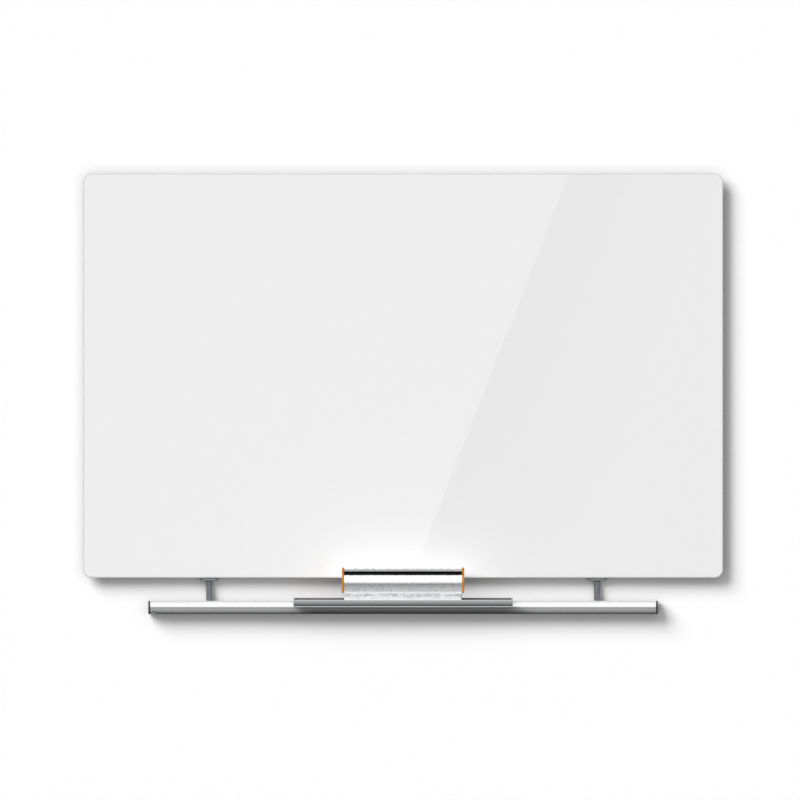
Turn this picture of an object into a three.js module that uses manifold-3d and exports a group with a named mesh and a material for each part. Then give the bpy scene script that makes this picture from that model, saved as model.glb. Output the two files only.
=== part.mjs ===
// Magnetic glass writing board on a wall cleat, with an accessory rail, a sliding caddy
// and an eraser that stands in it.
// Millimetres, +Z up. The wall is the plane y = 0 and the board faces -Y. The origin is
// the middle of the wall cleat's back, where the cleat lies on the wall.
// Section outlines are drawn as (depth in front of the wall, height) and carried along X.

import * as THREE from 'three';
import { mergeVertices } from 'three/addons/utils/BufferGeometryUtils.js';
import Module from 'manifold-3d';

const wasm = await Module();
wasm.setup();

// Fits that several pieces share
const glueLine = 0.3;
const seatGap = 0.2;
const seamGap = 0.15;
const runningGap = 0.3;
const cutOverrun = 1;

// Glass panel and the steel sheet bonded behind it
const glassWidth = 914.4;
const glassHeight = 578;
const glassThickness = 4;
const glassCornerRadius = 12.5;
const glassArris = 1.2;
const steelThickness = 0.6;
const steelInset = 8;
const steelCornerRadius = 6;

// Wall cleat and the hanger that hooks over it
const cleatLength = 740;
const cleatThickness = 2;
const cleatFlangeHeight = 28;
const cleatLegHeight = 14;
const cleatHoleRadius = 2.4;
const cleatHoleSpacings = [240, 640];
const hangerLength = 760;
const hangerThickness = 2;
const hangerLegRelief = 2.3;
const hangerLiftSpace = 6;
const hangerWebHeight = 44;
const hangerWebDrop = 30;
const cleatBelowGlassTop = 90;

// Bottom channel and its bumpers
const channelLength = 760;
const channelDepth = 15.3;
const channelHeight = 34;
const channelWall = 2;
const channelFloor = 3;
const channelRearHeight = 14;
const bumperThickness = 1.5;
const bumperRadius = 5;
const bumperSpacing = 700;

// Posts that carry the accessory rail, with their washers and nuts
const postEndInset = 87.3;
const postFlangeWidth = 27.5;
const postFlangeDepth = 16;
const postFlangeThickness = 3.7;
const postFlangeEdge = 0.5;
const postRodRadius = 4.3;
const postRodLength = 28.7;
const postFilletRadius = 1.2;
const postStudRadius = 2.9;
const postStudEnd = 1.5;
const postTapRadius = 2.2;
const postTapDepth = 14;
const washerRadius = 5.3;
const washerThickness = 1.2;
const nutAcrossFlats = 10;
const nutHeight = 5;

// Accessory rail, its end caps and its screws
const railSpan = 728.6;
const railHeight = 18.3;
const railWall = 1.8;
const railSeatDepth = 11.7;
const railGrooveWidth = 4.6;
const railGrooveDepth = 7;
const railRibThickness = 2.2;
const railRibEdge = 0.8;
const railRidgeForward = 7.3;
const railRidgeDrop = 8.3;
const railLowerSetback = 1.2;
const railBottomRadius = 2;
const railRearRadius = 0.8;
const screwGrooveWidth = 9.2;
const screwGrooveDepth = 3.4;
const railCapThickness = 2.9;
const railCapPegLength = 9;
const railNotchLength = 6.7;
const railNotchHeight = 3.6;
const railTabLength = 2.3;
const railTabHeight = 2.9;
const screwShankRadius = 1.95;
const screwHoleRadius = 2.3;
const screwHeadRadius = 4.2;
const screwHeadHeight = 3.7;
const screwReach = 11;
const screwSocketRadius = 1.45;
const screwSocketDepth = 1.4;

// Caddy that slides on the rail's rib, with its end caps and glides
const caddySpan = 313;
const caddyWall = 1.8;
const caddyHookTop = 4.4;
const caddyHookRadius = 1.2;
const caddyRearLegDrop = 5;
const caddySlopeGap = 0.8;
const caddyFloorDrop = 3.9;
const caddyTroughSpan = 52;
const caddyLipTop = 1.6;
const caddyLipDrop = 6.9;
const caddyLipThickness = 2.35;
const caddyLipEdge = 1.3;
const caddyCapThickness = 1.8;
const glideWall = 1;
const glideRibGap = 0.25;
const glideLength = 30;
const glideInset = 12;
const glideRearDrop = 4.6;
const glideFrontDrop = 0.6;

// Eraser
const eraserSpan = 174.9;
const eraserWidth = 48;
const eraserRearSpace = 2;
const eraserCapThickness = 3.3;
const eraserCapProud = 0.2;
const eraserCapEdge = 0.5;
const eraserCapCorner = 2;
const eraserCapPegLength = 8;
const handleHeight = 34.05;
const handleWall = 2;
const handleSideHeight = 12.3;
const handleShoulderTop = 24.4;
const handleNeckWidth = 25.2;
const handleGrooveBottom = 24.7;
const handleGrooveTop = 29.2;
const handleGrooveDepth = 2.2;
const handleCrownFlat = 21;
const handleShoulderInShare = 0.35;
const handleShoulderUpShare = 0.65;
const gripThickness = 1.7;
const carrierThickness = 1.75;
const carrierInset = 0.3;
const carrierRibHeight = 8;
const carrierRibThickness = 1.6;
const padHeight = 14.9;
const padInset = 0.7;
const padEdgeRadius = 1.5;
const magnetRadius = 8;
const magnetThickness = 5;
const magnetSpacing = 96;
const magnetCover = 3;

// Segment counts
const roundSegments = 32;
const cornerSegments = 8;
const hexagonSides = 6;

// Places worked out from the sizes, as depths in front of the wall
const steelBack = bumperThickness + channelDepth + glueLine;
const glassBack = steelBack + steelThickness + glueLine;
const channelBack = bumperThickness;
const channelFront = channelBack + channelDepth;
const postDepth = (channelBack + channelFront) / 2;
const railRear = postDepth - railSeatDepth / 2;
const railSeatFront = railRear + railSeatDepth;
const railRibRear = railSeatFront + railGrooveWidth;
const railRibFront = railRibRear + railRibThickness;
const railRidge = railRibFront + railRidgeForward;

// Places along X that the posts and their screws share
const postX = railSpan / 2 - postEndInset;

// Heights above the wall cleat's middle
const glassTop = cleatBelowGlassTop;
const glassBottom = glassTop - glassHeight;
const postTop = glassBottom - seatGap;
const railTop = postTop - postFlangeThickness - postRodLength - seatGap;

const finishes = {
  whiteGlass: { color: 0xeeeeee, roughness: 0.08, metalness: 0 },
  galvanised: { color: 0xa9adb0, roughness: 0.45, metalness: 0.9 },
  millAluminium: { color: 0xb9bcc0, roughness: 0.4, metalness: 0.9 },
  postMetal: { color: 0x7d7f85, roughness: 0.4, metalness: 0.8 },
  zincSteel: { color: 0xc2c4c6, roughness: 0.35, metalness: 0.9 },
  railAluminium: { color: 0xc9cacc, roughness: 0.3, metalness: 0.9 },
  caddyAluminium: { color: 0x8f9093, roughness: 0.35, metalness: 0.8 },
  darkPlastic: { color: 0x3c3d3f, roughness: 0.5, metalness: 0 },
  greyPlastic: { color: 0x77787a, roughness: 0.5, metalness: 0 },
  nylon: { color: 0xe2e0da, roughness: 0.5, metalness: 0 },
  rubber: { color: 0x1d1d1e, roughness: 0.8, metalness: 0 },
  handleMetal: { color: 0xd4d6d8, roughness: 0.2, metalness: 0.95 },
  orangePlastic: { color: 0xd27f28, roughness: 0.35, metalness: 0 },
  whitePlastic: { color: 0xf0f0ee, roughness: 0.4, metalness: 0 },
  magnet: { color: 0xb4b6b8, roughness: 0.25, metalness: 1 },
  felt: { color: 0xd9dcdd, roughness: 1, metalness: 0 },
};

// Helpers for solids

function addPiece(group, name, geometry, finish) {
  const mesh = new THREE.Mesh(geometry, new THREE.MeshStandardMaterial(finish));
  mesh.name = name;
  group.add(mesh);
}

function addGroup(parent, x, depth, height) {
  const group = new THREE.Group();
  group.position.set(x, -depth, height);
  parent.add(group);
  return group;
}

function toSolid(geometry) {
  const bare = geometry.clone();
  bare.deleteAttribute('normal');
  bare.deleteAttribute('uv');
  const merged = mergeVertices(bare);
  return new wasm.Manifold(new wasm.Mesh({
    numProp: 3,
    vertProperties: new Float32Array(merged.attributes.position.array),
    triVerts: new Uint32Array(merged.index.array),
  }));
}

function toGeometry(solid) {
  const mesh = solid.getMesh();
  const geometry = new THREE.BufferGeometry();
  geometry.setAttribute('position', new THREE.BufferAttribute(mesh.vertProperties, mesh.numProp));
  geometry.setIndex(new THREE.BufferAttribute(mesh.triVerts, 1));
  geometry.computeVertexNormals();
  return geometry;
}

function joined(...geometries) {
  return toGeometry(geometries.map(toSolid).reduce((whole, piece) => whole.add(piece)));
}

function cutFrom(geometry, ...cutters) {
  const whole = toSolid(geometry);
  return toGeometry(cutters.map(toSolid).reduce((left, cutter) => left.subtract(cutter), whole));
}

// A section drawn as (depth, height), carried along X and centred on x = 0
function alongX(shape, length, bevel = 0) {
  const geometry = new THREE.ExtrudeGeometry(shape, {
    depth: length - 2 * bevel,
    steps: 1,
    curveSegments: cornerSegments,
    bevelEnabled: bevel > 0,
    bevelThickness: bevel,
    bevelSize: bevel,
    bevelOffset: -bevel,
    bevelSegments: 2,
  });
  const toRoom = new THREE.Matrix4().makeBasis(
    new THREE.Vector3(0, -1, 0), new THREE.Vector3(0, 0, 1), new THREE.Vector3(-1, 0, 0));
  geometry.applyMatrix4(toRoom);
  geometry.translate(length / 2 - bevel, 0, 0);
  return geometry;
}

// A panel outline drawn as (x, height), standing from one depth to a greater one
function panel(shape, backDepth, frontDepth, bevel = 0) {
  const thickness = frontDepth - backDepth;
  const geometry = new THREE.ExtrudeGeometry(shape, {
    depth: thickness - 2 * bevel,
    steps: 1,
    curveSegments: cornerSegments,
    bevelEnabled: bevel > 0,
    bevelThickness: bevel,
    bevelSize: bevel,
    bevelOffset: -bevel,
    bevelSegments: 1,
  });
  geometry.rotateX(Math.PI / 2);
  geometry.translate(0, -backDepth - bevel, 0);
  return geometry;
}

function box(lowX, highX, backDepth, frontDepth, low, high) {
  const geometry = new THREE.BoxGeometry(highX - lowX, frontDepth - backDepth, high - low);
  geometry.translate((lowX + highX) / 2, -(backDepth + frontDepth) / 2, (low + high) / 2);
  return geometry;
}

function uprightCylinder(radius, x, depth, low, high, segments = roundSegments) {
  const halfStep = Math.PI / segments;
  const geometry = new THREE.CylinderGeometry(radius, radius, high - low, segments, 1, false, halfStep);
  geometry.rotateX(Math.PI / 2);
  geometry.translate(x, -depth, (low + high) / 2);
  return geometry;
}

function levelCylinder(radius, x, height, backDepth, frontDepth, segments = roundSegments) {
  const geometry = new THREE.CylinderGeometry(radius, radius, frontDepth - backDepth, segments);
  geometry.translate(x, -(backDepth + frontDepth) / 2, height);
  return geometry;
}

function polygon(points) {
  return new THREE.Shape(points.map(([across, up]) => new THREE.Vector2(across, up)));
}

function roundedRectangle(width, height, radius) {
  const shape = new THREE.Shape();
  const side = width / 2;
  const top = height / 2;
  shape.moveTo(-side + radius, -top);
  shape.lineTo(side - radius, -top);
  shape.absarc(side - radius, -top + radius, radius, -Math.PI / 2, 0, false);
  shape.lineTo(side, top - radius);
  shape.absarc(side - radius, top - radius, radius, 0, Math.PI / 2, false);
  shape.lineTo(-side + radius, top);
  shape.absarc(-side + radius, top - radius, radius, Math.PI / 2, Math.PI, false);
  shape.lineTo(-side, -top + radius);
  shape.absarc(-side + radius, -top + radius, radius, Math.PI, 1.5 * Math.PI, false);
  return shape;
}

const board = new THREE.Group();

// Wall cleat: a Z-shaped strip screwed to the wall, whose leg stands up in front of it
const cleatFlangeTop = cleatFlangeHeight / 2;
const cleatArmTop = cleatFlangeTop + cleatThickness;
const cleatLegTop = cleatArmTop + cleatLegHeight;
const cleatLegBack = hangerLegRelief + hangerThickness + runningGap;
const cleatLegFront = cleatLegBack + cleatThickness;

function wallCleat() {
  const strip = alongX(polygon([
    [0, -cleatFlangeTop],
    [cleatThickness, -cleatFlangeTop],
    [cleatThickness, cleatFlangeTop],
    [cleatLegFront, cleatFlangeTop],
    [cleatLegFront, cleatLegTop],
    [cleatLegBack, cleatLegTop],
    [cleatLegBack, cleatArmTop],
    [0, cleatArmTop],
  ]), cleatLength);
  const holes = cleatHoleSpacings.flatMap((spacing) => [-spacing / 2, spacing / 2]).map((x) =>
    levelCylinder(cleatHoleRadius, x, 0, -cutOverrun, cleatThickness + cutOverrun));
  return cutFrom(strip, ...holes);
}

const wallGroup = addGroup(board, 0, 0, 0);
addPiece(wallGroup, 'wall_cleat', wallCleat(), finishes.millAluminium);

// Hanger rail: bonded to the steel sheet, its leg drops behind the cleat's leg
function hangerRail() {
  const legBottom = cleatArmTop + seatGap;
  const armBottom = cleatLegTop + hangerLiftSpace;
  const armTop = armBottom + hangerThickness;
  const webBack = channelFront - hangerThickness;
  const webBottom = armBottom - hangerWebDrop;
  return alongX(polygon([
    [hangerLegRelief, legBottom],
    [hangerLegRelief + hangerThickness, legBottom],
    [hangerLegRelief + hangerThickness, armBottom],
    [webBack, armBottom],
    [webBack, webBottom],
    [channelFront, webBottom],
    [channelFront, webBottom + hangerWebHeight],
    [webBack, webBottom + hangerWebHeight],
    [webBack, armTop],
    [hangerLegRelief, armTop],
  ]), hangerLength);
}

addPiece(wallGroup, 'hanger_rail', hangerRail(), finishes.millAluminium);

// Glass panel with arrised edges, and the thin steel sheet that magnets hold to
const panelGroup = addGroup(board, 0, 0, (glassTop + glassBottom) / 2);
addPiece(panelGroup, 'glass_panel', panel(
  roundedRectangle(glassWidth, glassHeight, glassCornerRadius),
  glassBack, glassBack + glassThickness, glassArris), finishes.whiteGlass);
addPiece(panelGroup, 'steel_sheet', panel(
  roundedRectangle(glassWidth - 2 * steelInset, glassHeight - 2 * steelInset, steelCornerRadius),
  steelBack, steelBack + steelThickness), finishes.galvanised);

// Bottom channel: bonded to the steel sheet, its floor level with the glass's lower edge
const lowerGroup = addGroup(board, 0, 0, glassBottom);

function bottomChannel() {
  const section = polygon([
    [channelBack, 0],
    [channelFront, 0],
    [channelFront, channelHeight],
    [channelFront - channelWall, channelHeight],
    [channelFront - channelWall, channelFloor],
    [channelBack + channelWall, channelFloor],
    [channelBack + channelWall, channelRearHeight],
    [channelBack, channelRearHeight],
  ]);
  const studHoles = [-1, 1].map((side) => uprightCylinder(
    postStudRadius + runningGap, side * postX, postDepth,
    -cutOverrun, channelFloor + cutOverrun));
  return cutFrom(alongX(section, channelLength), ...studHoles);
}

addPiece(lowerGroup, 'bottom_channel', bottomChannel(), finishes.millAluminium);

// Posts: an oblong foot under the channel, a threaded stud through its floor with a washer
// and a nut above, and a round rod that stands on the rail below
function post(x) {
  const foot = new THREE.ExtrudeGeometry(
    roundedRectangle(postFlangeWidth, postFlangeDepth, postFlangeDepth / 2), {
      depth: postFlangeThickness - 2 * postFlangeEdge,
      curveSegments: cornerSegments,
      bevelEnabled: true,
      bevelThickness: postFlangeEdge,
      bevelSize: postFlangeEdge,
      bevelOffset: -postFlangeEdge,
      bevelSegments: 1,
    });
  foot.translate(x, -postDepth, -seatGap - postFlangeThickness + postFlangeEdge);
  const footBottom = -seatGap - postFlangeThickness;
  const rodBottom = footBottom - postRodLength;
  const studTop = channelFloor + seatGap + washerThickness + seatGap + nutHeight + postStudEnd;
  const profile = [
    [0, rodBottom],
    [postRodRadius, rodBottom],
    [postRodRadius, footBottom - postFilletRadius],
    [postRodRadius + postFilletRadius, footBottom],
    [postRodRadius + postFilletRadius, footBottom + postFlangeEdge],
    [postStudRadius, footBottom + postFlangeThickness - postFlangeEdge],
    [postStudRadius, studTop],
    [0, studTop],
  ].map(([across, up]) => new THREE.Vector2(across, up));
  const rod = new THREE.LatheGeometry(profile, roundSegments);
  rod.rotateX(Math.PI / 2);
  rod.translate(x, -postDepth, 0);
  const tapping = uprightCylinder(
    postTapRadius, x, postDepth, rodBottom - cutOverrun, rodBottom + postTapDepth);
  return cutFrom(joined(foot, rod), tapping);
}

function ring(outerRadius, innerRadius, x, depth, low, high, segments) {
  return cutFrom(
    uprightCylinder(outerRadius, x, depth, low, high, segments),
    uprightCylinder(innerRadius, x, depth, low - cutOverrun, high + cutOverrun));
}

for (const [sideName, side] of [['left', -1], ['right', 1]]) {
  const x = side * postX;
  const washerBottom = channelFloor + seatGap;
  const nutBottom = washerBottom + washerThickness + seatGap;
  const nutRadius = nutAcrossFlats / 2 / Math.cos(Math.PI / hexagonSides);
  const boreRadius = postStudRadius + seamGap;
  addPiece(lowerGroup, `post_${sideName}`, post(x), finishes.postMetal);
  addPiece(lowerGroup, `post_washer_${sideName}`, ring(
    washerRadius, boreRadius, x, postDepth,
    washerBottom, washerBottom + washerThickness, roundSegments), finishes.zincSteel);
  addPiece(lowerGroup, `post_nut_${sideName}`, ring(
    nutRadius, boreRadius, x, postDepth, nutBottom, nutBottom + nutHeight,
    hexagonSides), finishes.zincSteel);
  addPiece(lowerGroup, `bumper_${sideName}`, levelCylinder(
    bumperRadius, side * bumperSpacing / 2, channelRearHeight / 2, 0, bumperThickness - seatGap),
  finishes.rubber);
}

// Accessory rail: a hollow extrusion. Its flat top carries the posts, and in front of a
// groove stands the rib that the caddy hangs on. The face below the rib slopes forward to
// a ridge, and the face under the ridge leans back again.
const railGroup = addGroup(board, 0, 0, railTop);
const railLength = railSpan - 2 * (railCapThickness + seamGap);
const slope = new THREE.Vector2(railRidgeForward, railRibEdge - railRidgeDrop);
const slopeNormal = new THREE.Vector2(-slope.y, slope.x).normalize();

// A line parallel to the rail's sloping face: its depth at a height, and its height at a depth
function slopeDepthAt(offset, height) {
  const start = -railRibEdge + slopeNormal.y * offset;
  return railRibFront + slopeNormal.x * offset + (height - start) * slope.x / slope.y;
}

function slopeHeightAt(offset, depth) {
  const start = railRibFront + slopeNormal.x * offset;
  return -railRibEdge + slopeNormal.y * offset + (depth - start) * slope.y / slope.x;
}

function railOutline(withGrooves) {
  const outline = new THREE.Shape();
  const screwGrooveBack = postDepth - screwGrooveWidth / 2;
  const screwGrooveFront = postDepth + screwGrooveWidth / 2;
  const lowerFront = railRidge - railLowerSetback;
  outline.moveTo(railRear, -railRearRadius);
  outline.lineTo(railRear, -railHeight + railRearRadius);
  outline.lineTo(railRear + railRearRadius, -railHeight);
  if (withGrooves) {
    outline.lineTo(screwGrooveBack, -railHeight);
    outline.lineTo(screwGrooveBack, -railHeight + screwGrooveDepth);
    outline.lineTo(screwGrooveFront, -railHeight + screwGrooveDepth);
    outline.lineTo(screwGrooveFront, -railHeight);
  }
  outline.lineTo(lowerFront - railBottomRadius, -railHeight);
  outline.quadraticCurveTo(lowerFront, -railHeight, lowerFront, -railHeight + railBottomRadius);
  outline.lineTo(railRidge, -railRidgeDrop);
  outline.lineTo(railRibFront, -railRibEdge);
  outline.lineTo(railRibFront - railRibEdge, 0);
  if (withGrooves) {
    outline.lineTo(railRibRear, 0);
    outline.lineTo(railRibRear, -railGrooveDepth);
    outline.lineTo(railSeatFront, -railGrooveDepth);
    outline.lineTo(railSeatFront, 0);
  }
  outline.lineTo(railRear + railRearRadius, 0);
  return outline;
}

// The two hollows, drawn a wall's thickness inside the outline and less by a clearance
function rearHollow(clearance) {
  const inset = railWall + clearance;
  const floor = -railHeight + screwGrooveDepth + inset;
  return [
    [railRear + inset, floor],
    [railSeatFront - inset, floor],
    [railSeatFront - inset, -inset],
    [railRear + inset, -inset],
  ];
}

function frontHollow(clearance) {
  const inset = railWall + clearance;
  const roof = -railGrooveDepth - inset;
  const floor = -railHeight + inset;
  const back = railSeatFront + clearance;
  const front = railRidge - inset;
  return [
    [back, floor],
    [front - railLowerSetback, floor],
    [front, slopeHeightAt(-inset, front)],
    [slopeDepthAt(-inset, roof), roof],
    [back, roof],
  ];
}

const overallRailEnd = railSpan / 2;

function trayRail() {
  const section = railOutline(true);
  section.holes.push(polygon(rearHollow(0)), polygon(frontHollow(0)));
  const notchEnd = -overallRailEnd + railCapThickness + railNotchLength;
  const notch = box(
    -overallRailEnd, notchEnd, railRear - cutOverrun, railRidge + cutOverrun,
    -railHeight - cutOverrun, -railHeight + railNotchHeight);
  const screwHoles = [-1, 1].map((side) => uprightCylinder(
    screwHoleRadius, side * postX, postDepth, -railHeight - cutOverrun, cutOverrun));
  return cutFrom(alongX(section, railLength), notch, ...screwHoles);
}

// End caps: a plate over the rail's end with a peg in each hollow
function railEndCap(side) {
  const plate = alongX(railOutline(false), railCapThickness);
  plate.translate(side * (overallRailEnd - railCapThickness / 2), 0, 0);
  const pegs = [rearHollow(runningGap), frontHollow(runningGap)].map((outline) => {
    const peg = alongX(polygon(outline), railCapThickness + railCapPegLength);
    peg.translate(side * (overallRailEnd - (railCapThickness + railCapPegLength) / 2), 0, 0);
    return peg;
  });
  return [plate, ...pegs];
}

function leftRailEndCap() {
  const tabStart = -overallRailEnd + railCapThickness / 2;
  const tabEnd = -overallRailEnd + railCapThickness + railTabLength;
  const tab = box(
    tabStart, tabEnd, postDepth, railRidge - railLowerSetback - railBottomRadius,
    -railHeight, -railHeight + railTabHeight);
  return joined(...railEndCap(-1), tab);
}

// Screws: a round head in the rail's lower groove and a shank up into the post
function railScrew(x) {
  const headTop = -railHeight + screwGrooveDepth - seatGap;
  const headBottom = headTop - screwHeadHeight;
  const head = uprightCylinder(screwHeadRadius, x, postDepth, headBottom, headTop);
  const shank = uprightCylinder(screwShankRadius, x, postDepth, headBottom + screwSocketDepth, screwReach);
  const socket = uprightCylinder(
    screwSocketRadius, x, postDepth, headBottom - cutOverrun, headBottom + screwSocketDepth,
    hexagonSides);
  return cutFrom(joined(head, shank), socket);
}

addPiece(railGroup, 'tray_rail', trayRail(), finishes.railAluminium);
addPiece(railGroup, 'rail_end_cap_left', leftRailEndCap(), finishes.darkPlastic);
addPiece(railGroup, 'rail_end_cap_right', joined(...railEndCap(1)), finishes.darkPlastic);
addPiece(railGroup, 'rail_screw_left', railScrew(-postX), finishes.zincSteel);
addPiece(railGroup, 'rail_screw_right', railScrew(postX), finishes.zincSteel);

// Caddy: a shallow extruded trough. Its back folds over the rail's rib as a hook, follows
// the sloping face down, and its front lip bulges a little.
const caddyGroup = addGroup(railGroup, 0, 0, 0);
const caddyLength = caddySpan - 2 * (caddyCapThickness + seamGap);
const hookRearInner = railRibRear - glideRibGap - glideWall - seamGap;
const hookFrontInner = railRibFront + glideRibGap + glideWall + seamGap;
const caddyFloorBottom = -caddyFloorDrop - caddyWall;
const troughBack = slopeDepthAt(caddySlopeGap + caddyWall, -caddyFloorDrop);
const lipInner = troughBack + caddyTroughSpan;
const lipEdgeDepth = lipInner + caddyLipEdge;
const lipMiddle = (caddyLipTop - caddyLipDrop) / 2;
const lipControl = 2 * (lipInner + caddyLipThickness) - lipEdgeDepth;

function caddyTray() {
  const outline = new THREE.Shape();
  const rearOuter = hookRearInner - caddyWall;
  const frontOuter = hookFrontInner + caddyWall;
  const hookInnerTop = caddyHookTop - caddyWall;
  outline.moveTo(rearOuter, -caddyRearLegDrop);
  outline.lineTo(hookRearInner, -caddyRearLegDrop);
  outline.lineTo(hookRearInner, hookInnerTop);
  outline.lineTo(hookFrontInner, hookInnerTop);
  outline.lineTo(hookFrontInner, slopeHeightAt(caddySlopeGap, hookFrontInner));
  outline.lineTo(slopeDepthAt(caddySlopeGap, caddyFloorBottom), caddyFloorBottom);
  outline.lineTo(lipInner, caddyFloorBottom);
  outline.lineTo(lipInner, -caddyLipDrop);
  outline.lineTo(lipEdgeDepth, -caddyLipDrop);
  outline.quadraticCurveTo(lipControl, lipMiddle, lipEdgeDepth, caddyLipTop);
  outline.lineTo(lipInner, caddyLipTop);
  outline.lineTo(lipInner, -caddyFloorDrop);
  outline.lineTo(troughBack, -caddyFloorDrop);
  outline.lineTo(frontOuter, slopeHeightAt(caddySlopeGap + caddyWall, frontOuter));
  outline.lineTo(frontOuter, caddyHookTop - caddyHookRadius);
  outline.quadraticCurveTo(frontOuter, caddyHookTop, frontOuter - caddyHookRadius, caddyHookTop);
  outline.lineTo(rearOuter + caddyHookRadius, caddyHookTop);
  outline.quadraticCurveTo(rearOuter, caddyHookTop, rearOuter, caddyHookTop - caddyHookRadius);
  return alongX(outline, caddyLength);
}

function caddyEndCap(side) {
  const outline = new THREE.Shape();
  outline.moveTo(hookFrontInner, slopeHeightAt(caddySlopeGap, hookFrontInner));
  outline.lineTo(slopeDepthAt(caddySlopeGap, caddyFloorBottom), caddyFloorBottom);
  outline.lineTo(lipInner, caddyFloorBottom);
  outline.lineTo(lipInner, -caddyLipDrop);
  outline.lineTo(lipEdgeDepth, -caddyLipDrop);
  outline.quadraticCurveTo(lipControl, lipMiddle, lipEdgeDepth, caddyLipTop);
  outline.lineTo(hookFrontInner + caddyWall, caddyHookTop);
  outline.lineTo(hookFrontInner, caddyHookTop);
  const plate = alongX(outline, caddyCapThickness);
  plate.translate(side * (caddySpan - caddyCapThickness) / 2, 0, 0);
  return plate;
}

// Glides: nylon liners clipped into the hook, astride the rib
function caddyGlide(side) {
  const rearOuter = hookRearInner + seamGap;
  const frontOuter = hookFrontInner - seamGap;
  const top = caddyHookTop - caddyWall - seamGap;
  const liner = alongX(polygon([
    [rearOuter, -glideRearDrop],
    [rearOuter + glideWall, -glideRearDrop],
    [rearOuter + glideWall, runningGap],
    [frontOuter - glideWall, runningGap],
    [frontOuter - glideWall, -glideFrontDrop],
    [frontOuter, -glideFrontDrop],
    [frontOuter, top],
    [rearOuter, top],
  ]), glideLength);
  liner.translate(side * (caddyLength / 2 - glideInset - glideLength / 2), 0, 0);
  return liner;
}

addPiece(caddyGroup, 'caddy_tray', caddyTray(), finishes.caddyAluminium);
for (const [sideName, side] of [['left', -1], ['right', 1]]) {
  addPiece(caddyGroup, `caddy_end_cap_${sideName}`, caddyEndCap(side), finishes.greyPlastic);
  addPiece(caddyGroup, `caddy_glide_${sideName}`, caddyGlide(side), finishes.nylon);
}

// Eraser: an extruded handle with a cap at each end, on a carrier plate with a felt pad.
// Its group stands on the trough's floor, and its own depths run both ways from its middle.
const eraserDepth = troughBack + eraserRearSpace + eraserWidth / 2;
const eraserGroup = addGroup(caddyGroup, 0, eraserDepth, -caddyFloorDrop);
const eraserLength = eraserSpan - 2 * (eraserCapThickness + seamGap);
const padBottom = runningGap;
const padTop = padBottom + padHeight;
const carrierBottom = padTop + seamGap;
const carrierTop = carrierBottom + carrierThickness;
const handleBottom = carrierTop + seamGap;

// Control point of the shoulder's curve, between the side's top and the shoulder's own top
function shoulderControl([side, sideTop], [neck, shoulderTop]) {
  return [
    side + (neck - side) * handleShoulderInShare,
    sideTop + (shoulderTop - sideTop) * handleShoulderUpShare,
  ];
}

// Outline of the handle from its foot to its crown, grown outward for the caps
function handleOutline(shape, grow, foot, withGrooves) {
  const side = eraserWidth / 2 + grow;
  const neck = handleNeckWidth / 2 + grow;
  const crown = handleHeight + grow;
  const crownSide = handleCrownFlat / 2;
  const up = (height) => handleBottom + height;
  const grooveSide = neck - handleGrooveDepth;
  const [bulge, bulgeHeight] = shoulderControl([side, up(handleSideHeight)], [neck, up(handleShoulderTop)]);
  shape.lineTo(side, up(handleSideHeight));
  shape.quadraticCurveTo(bulge, bulgeHeight, neck, up(handleShoulderTop));
  if (withGrooves) {
    shape.lineTo(grooveSide, up(handleGrooveBottom));
    shape.lineTo(grooveSide, up(handleGrooveTop));
  }
  shape.lineTo(neck, up(handleGrooveTop));
  shape.quadraticCurveTo(neck, up(crown), crownSide, up(crown));
  shape.lineTo(-crownSide, up(crown));
  shape.quadraticCurveTo(-neck, up(crown), -neck, up(handleGrooveTop));
  if (withGrooves) {
    shape.lineTo(-grooveSide, up(handleGrooveTop));
    shape.lineTo(-grooveSide, up(handleGrooveBottom));
  }
  shape.lineTo(-neck, up(handleShoulderTop));
  shape.quadraticCurveTo(-bulge, bulgeHeight, -side, up(handleSideHeight));
  shape.lineTo(-side, foot);
}

const handleInnerSide = eraserWidth / 2 - handleWall;
const handleInnerNeck = handleNeckWidth / 2 - handleGrooveDepth - handleWall;
const handleInnerShoulder = handleBottom + handleShoulderTop - handleWall;
const handleInnerCrown = handleBottom + handleHeight - handleWall;

function eraserHandle() {
  const shape = new THREE.Shape();
  const innerSideTop = handleBottom + handleSideHeight;
  const [bulge, bulgeHeight] = shoulderControl(
    [handleInnerSide, innerSideTop], [handleInnerNeck, handleInnerShoulder]);
  shape.moveTo(eraserWidth / 2, handleBottom);
  handleOutline(shape, 0, handleBottom, true);
  shape.lineTo(-handleInnerSide, handleBottom);
  shape.lineTo(-handleInnerSide, innerSideTop);
  shape.quadraticCurveTo(-bulge, bulgeHeight, -handleInnerNeck, handleInnerShoulder);
  shape.lineTo(-handleInnerNeck, handleInnerCrown);
  shape.lineTo(handleInnerNeck, handleInnerCrown);
  shape.lineTo(handleInnerNeck, handleInnerShoulder);
  shape.quadraticCurveTo(bulge, bulgeHeight, handleInnerSide, innerSideTop);
  shape.lineTo(handleInnerSide, handleBottom);
  return alongX(shape, eraserLength);
}

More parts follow.
